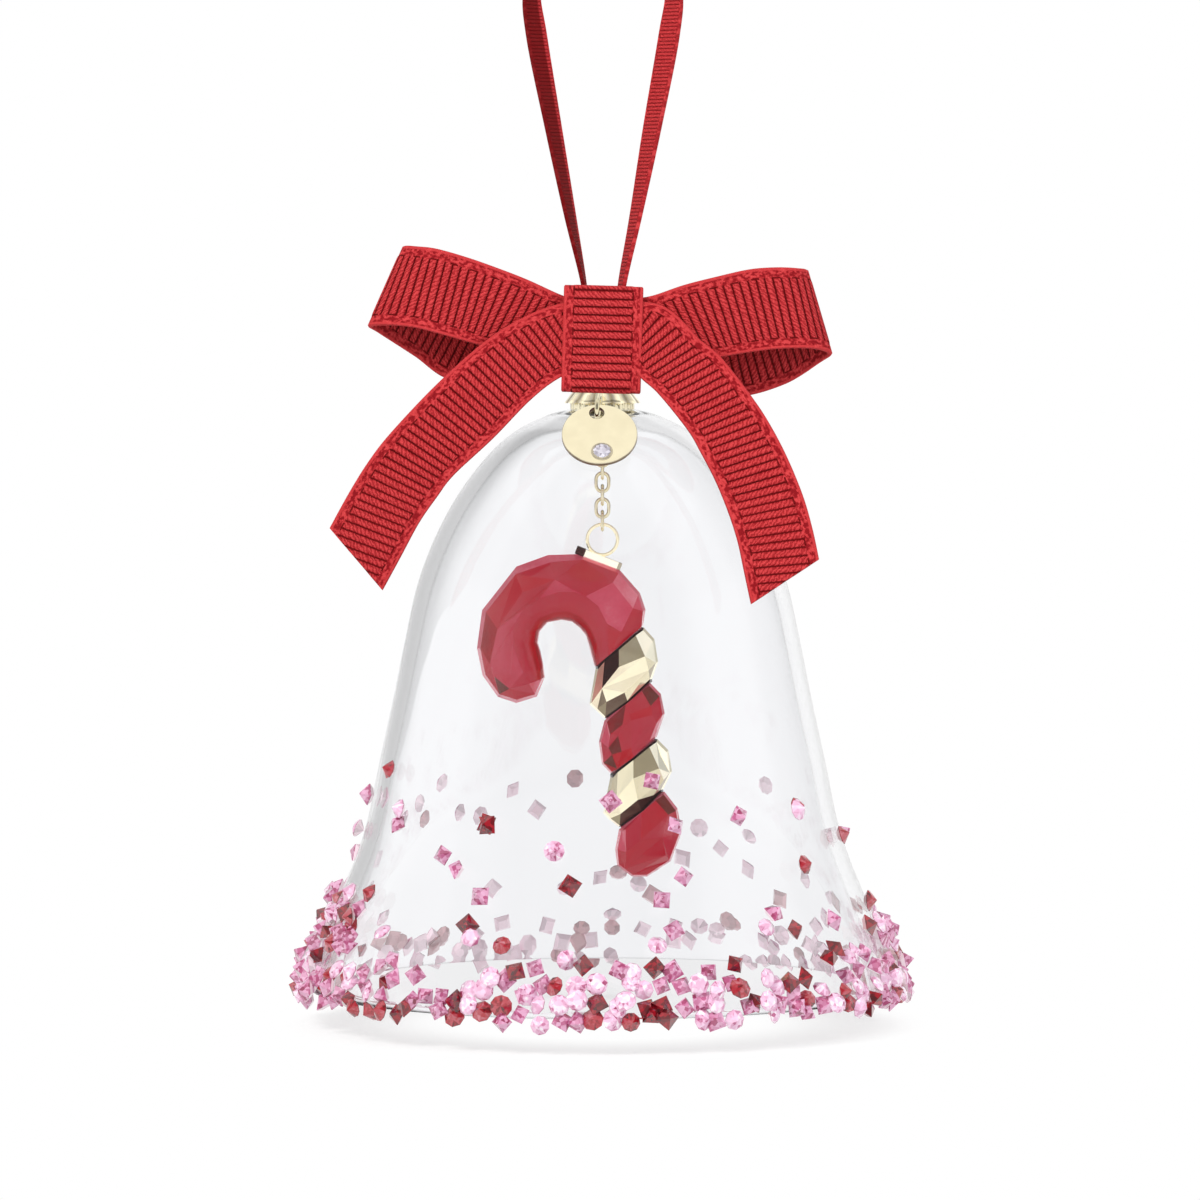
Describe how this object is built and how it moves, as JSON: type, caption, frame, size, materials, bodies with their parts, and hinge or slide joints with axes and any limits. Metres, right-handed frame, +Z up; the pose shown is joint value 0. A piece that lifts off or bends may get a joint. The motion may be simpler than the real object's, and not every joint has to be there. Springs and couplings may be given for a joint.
{
  "type": "christmas bell ornament",
  "caption": "Clear glass bell ornament on a red ribbon loop, with a gold cap, bow, tag, stone-studded rim and a crystal candy cane swinging inside as its clapper.",
  "frame": {"origin": "middle of the bell's rim plane, on the bell's axis", "axes": "+Z up along the bell's axis, -Y towards the bow and the tag, +X to the viewer's right"},
  "size_m": [0.0782, 0.078, 0.1337],
  "materials": {
    "clear_glass": "polished, clear",
    "clear_stone": "faceted, foiled back",
    "gold": "pale gold plate, polished",
    "red_crystal": "faceted, deep red, polished",
    "red_ribbon": "ribbed grosgrain",
    "adhesive_and_stones": "faceted pink and red stones on clear adhesive",
    "pink_stone": "faceted, foiled back"
  },
  "bodies": {
    "bell": {"bell_glass": "clear_glass", "cap_collar": "gold", "cap_crown": "gold", "cap_eyelet": "gold", "inner_washer": "gold", "inner_eye": "gold", "bow_loop_left": "red_ribbon", "bow_loop_right": "red_ribbon", "bow_tail_left": "red_ribbon", "bow_tail_right": "red_ribbon", "bow_knot_wrap": "red_ribbon", "hang_ribbon": "red_ribbon", "rim_stones_01": "adhesive_and_stones", "rim_stones_02": "adhesive_and_stones", "rim_stones_03": "adhesive_and_stones", "rim_stones_04": "adhesive_and_stones", "rim_stones_05": "adhesive_and_stones", "rim_stones_06": "adhesive_and_stones", "rim_stones_07": "adhesive_and_stones", "rim_stones_08": "adhesive_and_stones", "rim_stones_09": "adhesive_and_stones", "rim_stones_10": "adhesive_and_stones", "rim_stones_11": "adhesive_and_stones", "rim_stones_12": "adhesive_and_stones", "loose_stone_01": "pink_stone", "loose_stone_02": "pink_stone", "loose_stone_03": "pink_stone", "loose_stone_04": "pink_stone", "loose_stone_05": "pink_stone", "loose_stone_06": "pink_stone", "loose_stone_07": "pink_stone", "loose_stone_08": "pink_stone", "loose_stone_09": "pink_stone", "loose_stone_10": "pink_stone", "loose_stone_11": "pink_stone", "loose_stone_12": "pink_stone", "loose_stone_13": "pink_stone", "loose_stone_14": "pink_stone", "loose_stone_15": "pink_stone", "loose_stone_16": "pink_stone"},
    "tag_link": {"tag_ring": "gold"},
    "tag": {"tag_disc": "gold", "tag_stone": "clear_stone"},
    "link_1": {"chain_link_1": "gold"},
    "link_2": {"chain_link_2": "gold"},
    "link_3": {"chain_link_3": "gold"},
    "link_4": {"chain_link_4": "gold"},
    "link_5": {"chain_link_5": "gold"},
    "link_6": {"chain_link_6": "gold"},
    "cane": {"pendant_bail": "gold", "cane_hook_crystal": "red_crystal", "cane_gold_upper": "gold", "cane_crystal_middle": "red_crystal", "cane_gold_lower": "gold", "cane_crystal_tip": "red_crystal"}
  },
  "joints": [
    {"name": "tag_ring_swing", "type": "hinge", "parent": "bell", "child": "tag_link", "pos_m": [-0.00025, -0.0053, 0.0748], "axis": [0, 0, 1], "range_deg": [-15, 15]},
    {"name": "tag_swing", "type": "hinge", "parent": "tag_link", "child": "tag", "pos_m": [-0.0007, -0.01068, 0.072], "axis": [-1, 0, 0], "range_deg": [0, 45]},
    {"name": "chain_swing_1", "type": "hinge", "parent": "bell", "child": "link_1", "pos_m": [0, 0, 0.0667], "axis": [0, 1, 0], "range_deg": [-12, 12]},
    {"name": "chain_swing_2", "type": "hinge", "parent": "link_1", "child": "link_2", "pos_m": [0, 0, 0.06512], "axis": [1, 0, 0], "range_deg": [-20, 20]},
    {"name": "chain_swing_3", "type": "hinge", "parent": "link_2", "child": "link_3", "pos_m": [0, 0, 0.06354], "axis": [0, -1, 0], "range_deg": [-12, 12]},
    {"name": "chain_swing_4", "type": "hinge", "parent": "link_3", "child": "link_4", "pos_m": [0, 0, 0.06196], "axis": [-1, 0, 0], "range_deg": [-22, 22]},
    {"name": "chain_swing_5", "type": "hinge", "parent": "link_4", "child": "link_5", "pos_m": [0, 0, 0.06038], "axis": [0, 1, 0], "range_deg": [-15, 15]},
    {"name": "chain_swing_6", "type": "hinge", "parent": "link_5", "child": "link_6", "pos_m": [0, 0, 0.0588], "axis": [1, 0, 0], "range_deg": [-25, 25]},
    {"name": "cane_swing", "type": "hinge", "parent": "link_6", "child": "cane", "pos_m": [0, 0, 0.05722], "axis": [0, -1, 0], "range_deg": [-18, 18]}
  ]
}
